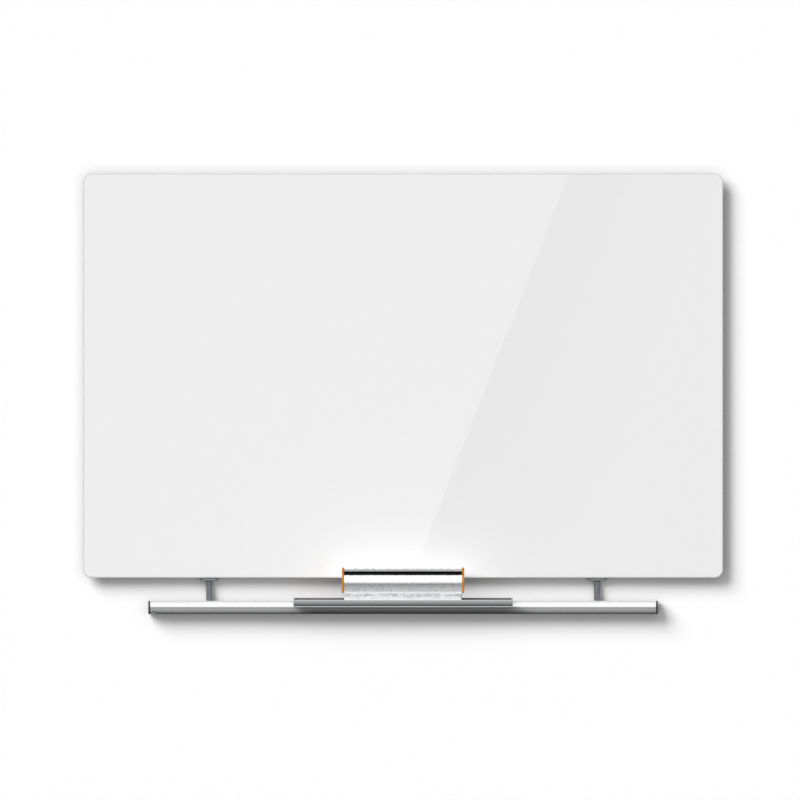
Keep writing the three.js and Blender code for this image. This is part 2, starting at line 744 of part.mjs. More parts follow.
function eraserEndCap(side) {
  const shape = new THREE.Shape();
  const capSide = eraserWidth / 2 + eraserCapProud;
  shape.moveTo(capSide - eraserCapCorner, carrierBottom);
  shape.quadraticCurveTo(capSide, carrierBottom, capSide, carrierBottom + eraserCapCorner);
  handleOutline(shape, eraserCapProud, carrierBottom + eraserCapCorner, false);
  shape.quadraticCurveTo(-capSide, carrierBottom, -capSide + eraserCapCorner, carrierBottom);
  const plate = alongX(shape, eraserCapThickness, eraserCapEdge);
  plate.translate(side * (eraserSpan - eraserCapThickness) / 2, 0, 0);
  const pegSide = handleInnerNeck - runningGap;
  const outerX = eraserSpan / 2 - eraserCapThickness / 2;
  const innerX = eraserSpan / 2 - eraserCapThickness - eraserCapPegLength;
  const peg = box(
    Math.min(side * innerX, side * outerX), Math.max(side * innerX, side * outerX),
    -pegSide, pegSide, handleInnerShoulder, handleInnerCrown - runningGap);
  return joined(plate, peg);
}

// Grips: rubber strips let into the groove on either side of the handle's neck
function eraserGrip(side) {
  const grooveSide = handleNeckWidth / 2 - handleGrooveDepth + seamGap;
  const nearDepth = side * grooveSide;
  const farDepth = side * (grooveSide + gripThickness);
  return box(
    -eraserLength / 2, eraserLength / 2, Math.min(nearDepth, farDepth), Math.max(nearDepth, farDepth),
    handleBottom + handleGrooveBottom + seamGap, handleBottom + handleGrooveTop - seamGap);
}

// Carrier: a plate with two ribs inside the handle and a boss over each magnet
function eraserPadCarrier() {
  const side = eraserWidth / 2 - carrierInset;
  const ribOuter = handleInnerSide - runningGap;
  const ribTop = handleBottom + carrierRibHeight;
  const middle = (carrierBottom + carrierTop) / 2;
  const bossBottom = padBottom + magnetCover + magnetThickness + 2 * seatGap;
  const plate = box(-eraserLength / 2, eraserLength / 2, -side, side, carrierBottom, carrierTop);
  const ribs = [-1, 1].map((end) => {
    const inner = end * (ribOuter - carrierRibThickness);
    const outer = end * ribOuter;
    return box(
      -eraserLength / 2, eraserLength / 2, Math.min(inner, outer), Math.max(inner, outer), middle, ribTop);
  });
  const bosses = [-1, 1].map((end) => uprightCylinder(
    magnetRadius - seatGap, end * magnetSpacing / 2, 0, bossBottom, middle));
  return joined(plate, ...ribs, ...bosses);
}

function eraserFeltPad() {
  const outline = roundedRectangle(eraserLength, eraserWidth - 2 * padInset, padEdgeRadius);
  const block = new THREE.ExtrudeGeometry(outline, {
    depth: padHeight,
    curveSegments: cornerSegments,
    bevelEnabled: false,
  });
  block.translate(0, 0, padBottom);
  const pockets = [-1, 1].map((end) => uprightCylinder(
    magnetRadius + runningGap, end * magnetSpacing / 2, 0, padBottom + magnetCover, padTop + cutOverrun));
  return cutFrom(block, ...pockets);
}

addPiece(eraserGroup, 'eraser_handle', eraserHandle(), finishes.handleMetal);
addPiece(eraserGroup, 'eraser_pad_carrier', eraserPadCarrier(), finishes.whitePlastic);
addPiece(eraserGroup, 'eraser_felt_pad', eraserFeltPad(), finishes.felt);
addPiece(eraserGroup, 'eraser_grip_front', eraserGrip(1), finishes.rubber);
addPiece(eraserGroup, 'eraser_grip_back', eraserGrip(-1), finishes.rubber);
for (const [sideName, side] of [['left', -1], ['right', 1]]) {
  const magnetBottom = padBottom + magnetCover + seatGap;
  addPiece(eraserGroup, `eraser_end_cap_${sideName}`, eraserEndCap(side), finishes.orangePlastic);
  addPiece(eraserGroup, `eraser_magnet_${sideName}`, uprightCylinder(
    magnetRadius, side * magnetSpacing / 2, 0,
    magnetBottom, magnetBottom + magnetThickness), finishes.magnet);
}

export default board;
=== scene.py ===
import bmesh
import bpy
import numpy as np
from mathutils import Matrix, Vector
from mathutils.geometry import tessellate_polygon


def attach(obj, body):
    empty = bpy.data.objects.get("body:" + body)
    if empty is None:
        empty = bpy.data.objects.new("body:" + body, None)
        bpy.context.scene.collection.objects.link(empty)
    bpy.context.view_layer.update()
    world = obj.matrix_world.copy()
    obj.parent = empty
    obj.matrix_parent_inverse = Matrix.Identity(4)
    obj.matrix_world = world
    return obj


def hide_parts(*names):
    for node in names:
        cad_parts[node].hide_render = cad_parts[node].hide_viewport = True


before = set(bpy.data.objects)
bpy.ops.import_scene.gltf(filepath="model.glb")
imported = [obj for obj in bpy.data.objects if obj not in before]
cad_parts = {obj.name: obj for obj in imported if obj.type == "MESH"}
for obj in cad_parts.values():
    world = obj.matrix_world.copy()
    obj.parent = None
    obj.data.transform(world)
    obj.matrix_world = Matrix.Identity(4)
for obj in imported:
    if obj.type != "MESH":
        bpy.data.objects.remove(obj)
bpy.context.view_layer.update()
scene = bpy.context.scene
scene.view_settings.view_transform = "Standard"


# Wall, light and camera. The board hangs on a plain white wall, lit softly from the upper
# left front. None of this is part of the object.

class Signal:
    """An output of a node in one node tree. Arithmetic on it adds Math nodes there."""

    def __init__(self, tree, socket=None):
        self.tree, self.socket = tree, socket

    def node(self, kind, settings={}, inputs={}, output=0):
        """Adds a node: its settings first, then its inputs as values or links. Gives one output."""
        made = self.tree.nodes.new(kind)
        for name, value in settings.items():
            if name == "stops":
                while len(made.color_ramp.elements) < len(value):
                    made.color_ramp.elements.new(1)
                for element, (place, colour) in zip(made.color_ramp.elements, value):
                    element.position, element.color = place, colour
            else:
                setattr(made, name, value)
        for name, value in inputs.items():
            if isinstance(value, Signal):
                self.tree.links.new(value.socket, made.inputs[name])
            else:
                made.inputs[name].default_value = value
        return Signal(self.tree, made.outputs[output] if len(made.outputs) else None)

    def math(self, operation, *values, clamp=False):
        settings = {"operation": operation, "use_clamp": clamp}
        return self.node("ShaderNodeMath", settings, dict(enumerate(values)))

    def __add__(self, other):
        return self.math("ADD", self, other)

    def __sub__(self, other):
        return self.math("SUBTRACT", self, other)

    def __rsub__(self, other):
        return self.math("SUBTRACT", other, self)

    def __mul__(self, other):
        return self.math("MULTIPLY", self, other)

    __radd__ = __add__
    __rmul__ = __mul__

    def ramp(self, *stops):
        """Values between the stops, each a place and a grey."""
        greys = [(place, (grey, grey, grey, 1)) for place, grey in stops]
        return self.node("ShaderNodeValToRGB", {"stops": greys}, {0: self})

    def between(self, low, high):
        """The colour that lies between low and high, with self as the share of high."""
        colours = [c if isinstance(c, Signal) else (*c, 1) for c in (low, high)]
        return self.node("ShaderNodeMix", {"data_type": "RGBA"}, {0: self, 6: colours[0], 7: colours[1]}, 2)


def link(obj):
    scene.collection.objects.link(obj)
    return obj


view_width = 1.143
camera_place = (-0.0044, -3, -0.2339)
camera = link(bpy.data.objects.new("camera", bpy.data.cameras.new("camera")))
camera.data.type = "ORTHO"
camera.data.ortho_scale = view_width
camera.data.clip_end = 20
camera.location = camera_place
camera.rotation_euler = (np.pi / 2, 0, 0)
scene.camera = camera

world = bpy.data.worlds.new("white studio")
scene.world = world
world.use_nodes = True
world.node_tree.nodes.clear()
world.cycles.sampling_method = "NONE"
sky = Signal(world.node_tree)
seen = sky.node("ShaderNodeLightPath", output="Is Camera Ray")
mirrored = sky.node("ShaderNodeLightPath", output="Is Glossy Ray")
through = sky.node("ShaderNodeLightPath", output="Is Transmission Ray")
heading = sky.node("ShaderNodeTexCoord", output="Generated")
upward = sky.node("ShaderNodeSeparateXYZ", inputs={0: heading}, output="Z")
backward = sky.node("ShaderNodeSeparateXYZ", inputs={0: heading}, output="Y")

# Rays past their first bounce that have met a matt face get a tenth of the sky.
later_loss = 0.9
bounces, passed, diffuse = (
    sky.node("ShaderNodeLightPath", output=kind)
    for kind in ("Ray Depth", "Transparent Depth", "Diffuse Depth"))
later = sky.math("GREATER_THAN", bounces - passed, 1.5) * sky.math("GREATER_THAN", diffuse, 0.5)
studio = 2 * (upward * 0.5 + 0.5).ramp(
    (0, 0.01), (0.2, 0.02), (0.28, 0.06), (0.4, 0.055), (0.47, 0.16), (0.5, 0.21), (0.545, 0.25),
    (0.58, 0.31), (0.63, 0.385), (0.73, 0.43), (0.87, 0.52), (0.94, 0.8), (1, 1))
ambient = (backward * 0.5 + 0.5).ramp((0, 0.05), (0.3, 0.06), (0.5, 0.5), (0.6, 0.9))
shown = sky.math("MAXIMUM", seen, through)
strength = shown + (1 - shown) * (mirrored * studio + (1 - mirrored) * ambient) * (1 - later_loss * later)
sky.node("ShaderNodeOutputWorld", inputs={
    "Surface": sky.node("ShaderNodeBackground", inputs={"Strength": strength, "Color": (1, 1, 1, 1)})})


def flat_sheet(name, corners):
    """A single face through the corners, in metres."""
    mesh = bpy.data.meshes.new(name)
    mesh.from_pydata(corners, [], [list(range(len(corners)))])
    sheet = link(bpy.data.objects.new(name, mesh))
    return sheet


def seen_only_by(obj, **kinds):
    """Turns every kind of ray off for a stage object but those named."""
    for kind in ("camera", "diffuse", "glossy", "transmission", "shadow", "volume_scatter"):
        setattr(obj, "visible_" + kind, kinds.get(kind, False))


def new_material(name):
    material = bpy.data.materials.new(name)
    material.use_nodes = True
    material.node_tree.nodes.clear()
    return material, Signal(material.node_tree)


wall_half, wall_place = 4, 0.0005
wall = flat_sheet("wall", [
    (side * wall_half, wall_place, end * wall_half) for side, end in ((-1, -1), (1, -1), (1, 1), (-1, 1))])
seen_only_by(wall, camera=True)
wall_paint, paint = new_material("wall paint")
paint.node("ShaderNodeOutputMaterial", inputs={"Surface": paint.node("ShaderNodeMixShader", inputs={
    0: paint.node("ShaderNodeNewGeometry", output="Backfacing"),
    1: paint.node("ShaderNodeBsdfDiffuse", inputs={"Color": (1, 1, 1, 1)}),
    2: paint.node("ShaderNodeBsdfTransparent")})})
wall.data.materials.append(wall_paint)


def group(name, *members, state="INCLUDE"):
    """A collection for light linking: lamps that use it act on its members, or on all others."""
    made = bpy.data.collections.new(name)
    for member in members:
        made.objects.link(member)
        made.collection_objects[-1].light_linking.link_state = state
    return made


glass_only, wall_only = group("glass only"), group("wall only", wall)
all_but_wall = group("all but the wall", wall, state="EXCLUDE")
board_pieces, shading_pieces = group("board pieces"), group("board and eraser pieces")
for name, heading, energy, spread, receivers, blockers in (
        ("key on the wall", (0.78, 1, -0.78), 2.8, 36, wall_only, board_pieces),
        ("front fill on the wall", (0, 1, 0), 1.22, 84, wall_only, shading_pieces),
        ("key", (0.75, 1, -0.75), 2.75, 36, all_but_wall, None),
        ("front fill", (0, 1, -0.4), 1.2, 60, all_but_wall, None)):
    lamp = link(bpy.data.objects.new(name, bpy.data.lights.new(name, "SUN")))
    lamp.data.energy, lamp.data.angle = energy, np.radians(spread)
    lamp.visible_glossy = False
    lamp.rotation_mode = "QUATERNION"
    lamp.rotation_quaternion = Vector(heading).to_track_quat("-Z", "Y")
    lamp.light_linking.receiver_collection = receivers
    lamp.light_linking.blocker_collection = blockers


def object_place(start, axis):
    """The object coordinate along one axis, in metres."""
    place = start.node("ShaderNodeTexCoord", output="Object")
    return start.node("ShaderNodeSeparateXYZ", inputs={0: place}, output=axis)


def glow_card(name, corners, brightness):
    """A see-through glow behind the camera, which only the glass mirrors, on top of the sky."""
    card = flat_sheet(name, corners)
    seen_only_by(card, glossy=True)
    card.light_linking.receiver_collection = glass_only
    material, start = new_material(name)
    start.node("ShaderNodeOutputMaterial", inputs={"Surface": start.node("ShaderNodeAddShader", inputs={
        0: start.node("ShaderNodeEmission", inputs={"Strength": brightness(start)}),
        1: start.node("ShaderNodeBsdfTransparent")})})
    material.cycles.emission_sampling = "NONE"
    card.data.materials.append(material)


# The two cards meet along a slant, which crosses height 0 at slant_middle.
lean, slant_middle = 0.3884, 0.2022
top, bottom, card_side, card_place = 0.14, -0.54, 0.7, -3.2
left_strength, right_strength, right_growth = 1.55, 0.25, 3.3
slant_top, slant_bottom = slant_middle + lean * top, slant_middle + lean * bottom
glow_card("window light left", [
    (-card_side, card_place, bottom), (slant_bottom, card_place, bottom),
    (slant_top, card_place, top), (-card_side, card_place, top)], lambda start: left_strength)


def fading(start):
    """Strength that grows with the distance to the right of the slant, up to 1."""
    beyond = object_place(start, "X") - slant_middle - object_place(start, "Z") * lean
    return start.math("MULTIPLY_ADD", beyond, right_growth, right_strength, clamp=True)


glow_card("window light right", [
    (slant_bottom, card_place, bottom), (card_side, card_place, bottom),
    (card_side, card_place, top), (slant_top, card_place, top)], fading)

# Four small lamps light the glass above the eraser.
glow_power, glow_radius, glow_place, glow_height = 0.0096, 0.01, -0.057, -0.485
for across in (-0.08, -0.027, 0.027, 0.08):
    glow = link(bpy.data.objects.new("glow", bpy.data.lights.new("glow", "POINT")))
    glow.data.energy = glow_power
    glow.data.shadow_soft_size = glow_radius
    glow.location = (across, glow_place, glow_height)
    glow.visible_glossy = False
    glow.light_linking.receiver_collection = glass_only
    glow.light_linking.blocker_collection = glass_only


# Wall cleat and hanger rail: extruded mill aluminium strips. The cleat is screwed to the
# wall through four holes, and the hanger rail behind the board hooks over it.

def surface(start, inputs, height=None, distance=0.0001, strength=0.5):
    """Principled surface from its inputs, with a bump from the height signal."""
    if height is not None:
        inputs = {**inputs, "Normal": start.node("ShaderNodeBump", inputs={
            "Height": height, "Distance": distance, "Strength": strength})}
    return start.node("ShaderNodeBsdfPrincipled", inputs=inputs)


def finish_with(start, shader):
    start.node("ShaderNodeOutputMaterial", inputs={"Surface": shader})


def noise(start, scale, stretch=(1, 1, 1), detail=3, rough=0.55):
    """Noise in object space. scale is its cells per metre, divided by stretch along each axis."""
    place = start.node("ShaderNodeTexCoord", output="Object")
    shrink = tuple(1 / amount for amount in stretch)
    placed = start.node("ShaderNodeMapping", {"vector_type": "POINT"}, {"Vector": place, "Scale": shrink})
    return start.node("ShaderNodeTexNoise", inputs={
        "Vector": placed, "Scale": scale, "Detail": detail, "Roughness": rough})


def extruded_metal(name, dark, light, roughness, metallic=0.95, lines=0.35, painted_shade_above=None):
    """Drawn metal: fine lines along X from the die, with slow changes of tone between them. Above
    the height given for it, in metres, its colour falls to a share of itself within a third of a
    millimetre: painted shade."""
    painted_shade_share, painted_shade_rate = 0.72, 3000
    material, start = new_material(name)
    drawn = noise(start, 2500, (400, 1, 1), 4, 0.7)
    cloud = noise(start, 25, (4, 1, 1), 2)
    scratch = noise(start, 900, (12, 1, 1), 5, 0.8).ramp((0.62, 0), (0.7, 1))
    tone = start.math("MULTIPLY", drawn * 0.6 + cloud * 0.4, 1, clamp=True)
    colour = tone.between(dark, light)
    # Painted shade: above the given height the colour is darkened.
    if painted_shade_above is not None:
        painted_shade_colour = tone.between([painted_shade_share * c for c in dark], [painted_shade_share * c for c in light])
        above = start.math("MULTIPLY", object_place(start, "Z") - painted_shade_above, painted_shade_rate, clamp=True)
        colour = above.between(colour, painted_shade_colour)
    finish_with(start, surface(start, {
        "Base Color": colour,
        "Metallic": metallic,
        "Roughness": roughness - 0.05 + drawn * 0.1 + scratch * 0.08,
    }, drawn * 0.7 + scratch * 0.3, 0.00004, lines))
    return material


def dress(node, material):
    """Gives a CAD node its finish."""
    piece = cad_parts[node]
    piece.data.materials.clear()
    piece.data.materials.append(material)


mill_aluminium = extruded_metal("mill aluminium", (0.55, 0.555, 0.56), (0.72, 0.725, 0.73), 0.38, 0.6)
for node in ("wall_cleat", "hanger_rail", "bottom_channel"):
    dress(node, mill_aluminium)


# Glass panel: 4 mm toughened glass, painted white on the back, with rounded corners and a
# ground and polished edge. It is bonded to the steel sheet behind it.

def rounded(corners, reach, steps=5):
    """Outline through the corners. Each corner gives way to a round arc that touches both its
    sides at `reach` from it: a rational parabola, weighted by the cosine of half its turn."""
    corners = np.asarray(corners, float)
    reach = np.broadcast_to(np.asarray(reach, float), len(corners))[:, None]
    back, ahead = np.roll(corners, 1, 0) - corners, np.roll(corners, -1, 0) - corners
    back /= np.linalg.norm(back, axis=1, keepdims=True)
    ahead /= np.linalg.norm(ahead, axis=1, keepdims=True)
    weight = np.sqrt((1 - (back * ahead).sum(1)) / 2)[:, None, None]
    t = np.linspace(0, 1, steps + 1)[None, :, None]
    start, end = (corners + back * reach)[:, None], (corners + ahead * reach)[:, None]
    pull = 2 * t * (1 - t) * weight
    total = (1 - t) ** 2 + pull + t ** 2
    outline = (((1 - t) ** 2 * start + pull * corners[:, None] + t ** 2 * end) / total).reshape(-1, 2)
    return outline[np.linalg.norm(outline - np.roll(outline, 1, 0), axis=1) > 1e-4]


def drawn_in(outline, distance):
    """The outline moved inwards: each point goes along the mean of its two sides' normals."""
    after = np.roll(outline, -1, 0) - outline
    after /= np.linalg.norm(after, axis=1, keepdims=True)
    area = (outline[:, 0] * np.roll(outline[:, 1], -1) - outline[:, 1] * np.roll(outline[:, 0], -1)).sum()
    inner = np.column_stack([-after[:, 1], after[:, 0]]) * np.sign(area)
    before = np.roll(inner, 1, 0)
    spread = 1 + (inner * before).sum(1, keepdims=True)
    return outline + (inner + before) / np.maximum(spread, 0.3) * distance


def skin(rings):
    """Quads between neighbouring rings, each of which closes on itself: rings[i, j] is a point."""
    rows, columns = rings.shape[:2]
    index = np.arange(rows * columns).reshape(rows, columns)
    low, high = index[:-1], index[1:]
    faces = np.stack([low, np.roll(low, -1, 1), np.roll(high, -1, 1), high], -1)
    return rings.reshape(-1, 3), faces.reshape(-1, 4)


def lid(*loops):
    """Triangles that cover the first loop and leave out the others, on the loops' own points."""
    triangles = tessellate_polygon([list(map(Vector, loop)) for loop in loops])
    return np.concatenate(loops), np.array(triangles)


def closed_mesh(name, parts):
    """One mesh from parts in millimetres, each its points, its faces and the number of its material.
    Points that meet are welded and faces turned outwards. Quads are smooth and triangles flat."""
    counts = np.cumsum([0] + [len(part[0]) for part in parts])
    points = np.concatenate([part[0] for part in parts]) * 0.001
    faces = [face for part, first in zip(parts, counts) for face in (part[1] + first).tolist()]
    numbers = np.concatenate([np.full(len(part[1]), part[2] if len(part) > 2 else 0) for part in parts])
    mesh = bpy.data.meshes.new(name)
    mesh.from_pydata(points, [], faces)
    mesh.polygons.foreach_set("material_index", numbers.astype(np.int32))
    mesh.polygons.foreach_set("use_smooth", [len(face) > 3 for face in faces])
    weld = bmesh.new()
    weld.from_mesh(mesh)
    bmesh.ops.remove_doubles(weld, verts=weld.verts, dist=1e-6)
    bmesh.ops.recalc_face_normals(weld, faces=weld.faces)
    weld.to_mesh(mesh)
    weld.free()
    return mesh


crisp_angle = 32


def make_piece(name, parts, materials, body, nodes, crisp=crisp_angle):
    """A piece with a closed mesh and its materials, whose edges over `crisp` degrees stay sharp. It
    replaces the CAD nodes and rides on the body."""
    mesh = closed_mesh(name, parts)
    curved = [face.use_smooth for face in mesh.polygons]
    mesh.set_sharp_from_angle(angle=np.radians(crisp))
    mesh.polygons.foreach_set("use_smooth", curved)
    for material in materials:
        mesh.materials.append(material)
    piece = link(bpy.data.objects.new(name, mesh))
    piece.modifiers.new("even shading", "WEIGHTED_NORMAL").keep_sharp = True
    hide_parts(*nodes)
    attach(piece, body)
    if body == "board":
        board_pieces.objects.link(piece)
    if body != "caddy":
        shading_pieces.objects.link(piece)
    return piece


def upright(outline, depth):
    """An outline (across, up) placed at a depth from the wall."""
    return np.column_stack([outline[:, 0], np.full(len(outline), -depth), outline[:, 1]])


glass_front, glass_start = new_material("white glass")
smear = noise(glass_start, 9, detail=2)
finish_with(glass_start, surface(glass_start, {
    "Base Color": noise(glass_start, 420, detail=2).between((0.829, 0.828, 0.83), (0.858, 0.857, 0.859)),
    "Roughness": 0.008 + smear * 0.012,
    "IOR": 1.5,
}))
glass_edge, edge_start = new_material("polished glass edge")
finish_with(edge_start, surface(edge_start, {
    "Base Color": noise(edge_start, 60).between((0.635, 0.647, 0.642), (0.71, 0.722, 0.717)),
    "Roughness": 0.12 + noise(edge_start, 300) * 0.1,
    "IOR": 1.5,
}))
glass_back, back_start = new_material("paint behind the glass")
finish_with(back_start, surface(back_start, {
    "Base Color": noise(back_start, 80).between((0.5, 0.5, 0.5), (0.6, 0.6, 0.6)),
    "Roughness": 0.55 + noise(back_start, 700) * 0.2,
}, noise(back_start, 900, detail=4), 0.00005, 0.4))

glass_half, glass_top, glass_bottom, glass_corner = 457.2, 90, -488, 12.5
glass_front_depth, glass_back_depth = 22, 18
glass_outline = rounded([
    (-glass_half, glass_bottom), (glass_half, glass_bottom), (glass_half, glass_top),
    (-glass_half, glass_top)], glass_corner, 16)
turn = np.linspace(0, np.pi / 2, 5)
arris = [(1.75, 0), *[(0.25 * (1 - np.sin(a)), 0.1 + 0.4 * (1 - np.cos(a))) for a in turn]]
front_edge = np.stack([
    upright(drawn_in(glass_outline, inset), glass_front_depth - back) for inset, back in arris])
back_edge = np.stack([
    upright(drawn_in(glass_outline, inset), glass_back_depth + ahead) for inset, ahead in arris[::-1]])
glass_panel = make_piece("glass_panel_finished", [
    (*lid(front_edge[0]), 0),
    (*skin(np.concatenate([front_edge, back_edge])), 1),
    (*lid(back_edge[-1]), 2),
], [glass_front, glass_edge, glass_back], "board", ["glass_panel"])
glass_only.objects.link(glass_panel)


# Steel sheet: thin galvanised steel bonded behind the glass, so that magnets hold to it. It
# ends a little inside the glass all round, and its corners are rounded.

galvanised, zinc_start = new_material("galvanised steel")
flowers = zinc_start.node("ShaderNodeTexVoronoi", {"feature": "F1"}, {
    "Vector": zinc_start.node("ShaderNodeTexCoord", output="Object"), "Scale": 160}, "Color")
flower_tone = zinc_start.node("ShaderNodeSeparateColor", inputs={0: flowers}, output="Red")
finish_with(zinc_start, surface(zinc_start, {
    "Base Color": (flower_tone * 0.7 + noise(zinc_start, 40) * 0.3).between(
        (0.5, 0.51, 0.52), (0.66, 0.675, 0.685)),
    "Metallic": 0.55,
    "Roughness": 0.36 + flower_tone * 0.1,
}, flower_tone + noise(zinc_start, 1500), 0.00003, 0.3))
dress("steel_sheet", galvanised)


# Bumpers: two round rubber pads stuck behind the lower edge, which hold it off the wall. Their
# rims are rounded, and each has a shallow dimple on the side of the wall.

def ringed(radius, height, angle):
    """Points at a radius and height round an upright axis, with one ring in each row."""
    return np.stack([radius * np.cos(angle), radius * np.sin(angle), height + 0 * angle], -1)


def turned(profile, sides=48):
    """A profile of radius and height swept round an axis: across, along and up at each turn."""
    profile = np.asarray(profile, float)
    angle = np.linspace(0, 2 * np.pi, sides, endpoint=False)
    return ringed(profile[:, :1], profile[:, 1:2], angle)


def moulded(name, dark, light, roughness, grain=1400, depth=0.00004, strength=0.5, gloss=0.5):
    """Moulded plastic or rubber: an even colour with a fine grain from the mould."""
    material, start = new_material(name)
    pits = noise(start, grain)
    finish_with(start, surface(start, {
        "Base Color": (noise(start, 50) * 0.6 + pits * 0.4).between(dark, light),
        "Roughness": roughness - 0.06 + pits * 0.12,
        "Specular IOR Level": gloss,
    }, pits, depth, strength))
    return material


rubber = moulded("black rubber", (0.001, 0.001, 0.001), (0.004, 0.004, 0.004), 0.7, gloss=0.06)
bumper_place, bumper_height = 350, -481
pad_profile = [
    (0, 1.3), (4.7, 1.3), (5, 1.1), (5, 0.45), (4.85, 0.15), (4.5, 0), (1.5, 0), (1.2, 0.25), (0, 0.3)]
for side, name in ((-1, "bumper_left"), (1, "bumper_right")):
    across, along, depth = np.moveaxis(turned(pad_profile), 2, 0)
    disc = np.stack([side * bumper_place + across, -depth, bumper_height + along], -1)
    make_piece(name + "_finished", [skin(disc)], [rubber], "board", [name])


# Posts: turned steel. An oblong foot bears under the channel, a threaded stud goes up through
# it, and the rod below is tapped for the rail's screw. Both hold the rail under the board.

def oblong(angle, half_straight, radius):
    """Distance from the middle of an oblong to its edge: to a flat side where the ray meets one,
    and otherwise to a round end."""
    run, rise = np.abs(np.cos(angle)), np.abs(np.sin(angle))
    to_side = radius / np.maximum(rise, 1e-9)
    to_end = half_straight * run + np.sqrt(radius ** 2 - (half_straight * rise) ** 2)
    return np.where(to_side * run <= half_straight, to_side, to_end)


def threaded(radius, groove, pitch, low, high, sides, fade=1):
    """Rings of a screw thread: the radius falls by up to `groove` as a triangle wave that climbs one
    pitch a turn, and fades in and out at the ends."""
    angle = np.linspace(0, 2 * np.pi, sides, endpoint=False)
    height = np.arange(low, high, pitch / 8)[:, None]
    wave = np.abs(2 * np.mod(height / pitch + angle / (2 * np.pi), 1) - 1)
    cover = np.clip(np.minimum(height - low, high - height) / fade, 0, 1)
    return ringed(radius - groove * (1 - wave) * cover, height, angle)


post_place, post_depth = 277, 9.15


def standing(rings, x, depth=post_depth):
    """Rings about the upright axis at x and depth."""
    return rings + np.array([x, -depth, 0])


post_steel, post_start = new_material("turned steel")
cut_rings = noise(post_start, 3000, (60, 60, 1), 2)
# The foot and the stud above it are painted lighter than the rod: painted light where the glass's shadow
# falls on the foot.
foot_light_start, foot_light_rate = -0.492, 2000
above_foot_light = object_place(post_start, "Z") - foot_light_start
painted_light_on_foot = post_start.math("MULTIPLY", above_foot_light, foot_light_rate, clamp=True)
finish_with(post_start, surface(post_start, {
    "Base Color": (cut_rings * 0.5 + noise(post_start, 300) * 0.5).between(
        painted_light_on_foot.between((0.28, 0.295, 0.325), (0.6, 0.615, 0.63)),
        painted_light_on_foot.between((0.43, 0.45, 0.485), (0.8, 0.81, 0.82))),
    "Metallic": 0.85,
    "Roughness": 0.34 + cut_rings * 0.12,
}, cut_rings, 0.00003, 0.4))

sides = 64
around = np.linspace(0, 2 * np.pi, sides, endpoint=False)
fillet = np.linspace(0, np.pi / 2, 5)
rod = turned(np.concatenate([
    [(0, -506.6), (2.2, -506.6), (2.2, -520.3), (2.5, -520.6), (3.9, -520.6), (4.18, -520.48)],
    [(4.3, -520.2), (4.3, -507), (4.3, -493.1)],
    np.column_stack([5.5 - 1.2 * np.cos(fillet), -493.1 + 1.2 * np.sin(fillet)])[1:],
]), sides)
foot_half_straight, foot_radius = 5.75, 8
foot_rows = np.array([
    (0.5, -491.9), (0.15, -491.75), (0, -491.4), (0, -488.7), (0.15, -488.35), (0.5, -488.2)])
foot_edge = np.stack([
    oblong(around, foot_half_straight, foot_radius - inset) for inset in foot_rows[:, 0]])
foot = ringed(foot_edge, foot_rows[:, 1:], around)
stud = threaded(2.9, 0.45, 1, -488.2, -477.5, sides)
stud_tip = turned([(2.9, -477.4), (2.4, -476.9), (0, -476.9)], sides)
for side, name in ((-1, "post_left"), (1, "post_right")):
    rings = standing(np.concatenate([rod, foot, stud, stud_tip]), side * post_place)
    make_piece(name + "_finished", [skin(rings)], [post_steel], "board", [name])


# Post nuts and washers: zinc-plated steel, which clamp each stud in the channel. The nuts'
# corners are chamfered above and below, and both are bored clear of the thread.

zinc_plate = extruded_metal("zinc plate", (0.42, 0.43, 0.43), (0.62, 0.62, 0.6), 0.3, 0.95, 0.2)


def hexagon(angle, apothem):
    """Distance from the middle of a hexagon to its edge."""
    return apothem / np.cos(np.mod(angle + np.pi / 6, np.pi / 3) - np.pi / 6)


rise = np.array([0, 0.1, 0.2, 0.3, 0.4, 0.5, 0.6])
nut_bottom, nut_top, nut_apothem, chamfer_start = -483.4, -478.4, 5, 4.75
nut_height = np.concatenate([nut_bottom + rise, nut_top - rise[::-1]])[:, None]
cone = chamfer_start + np.sqrt(3) * np.minimum(nut_height - nut_bottom, nut_top - nut_height)
nut_wall = ringed(np.minimum(hexagon(around, nut_apothem), cone), nut_height, around)
bore = turned([(3.35, nut_top), (3.05, -478.7), (3.05, -483.1), (3.35, nut_bottom)], sides)
washer = turned([
    (3.05, -484.8), (5.1, -484.8), (5.3, -484.6), (5.3, -483.8), (5.1, -483.6), (3.05, -483.6),
    (3.05, -484.8)], sides)
nut = np.concatenate([nut_wall, bore, nut_wall[:1]])
for side, end in ((-1, "left"), (1, "right")):
    for name, rings in ((f"post_nut_{end}", nut), (f"post_washer_{end}", washer)):
        make_piece(name + "_finished", [skin(standing(rings, side * post_place))], [zinc_plate],
                   "board", [name])


# Tray rail: a hollow extrusion in satin anodised aluminium, screwed up under the posts. A rib
# with a groove behind it stands at the top of its sloping front face. The lower left end is
# notched.

rail_top = -520.8


def section(*points):
    """Points given as depth from the wall and height above the rail's top, as an outline."""
    return np.array(points, float) + (0, rail_top)


def along(x, outline):
    """A section outline placed at x."""
    return np.column_stack([np.full(len(outline), x), -outline[:, 0], outline[:, 1]])


def edged(start, end, edge, steps=3):
    """Stations from start to end, with the section drawn in round both ends as a quarter circle."""
    swing = np.linspace(0, np.pi / 2, steps + 1)
    run, inset = edge * (1 - np.cos(swing)), edge * (1 - np.sin(swing))
    way = np.sign(end - start)
    return [*zip(start + way * run, inset), *zip(end - way * run[::-1], inset[::-1])]


def extruded(loops, stations):
    """Loops of one section carried along X, the first drawn in at each station by its inset, with a
    lid on each end. The loops after the first are hollows."""
    rings = [
        np.stack([along(x, drawn_in(loop, inset if number == 0 else -inset)) for x, inset in stations])
        for number, loop in enumerate(loops)]
    return [*map(skin, rings), lid(*[ring[0] for ring in rings]), lid(*[ring[-1] for ring in rings])]


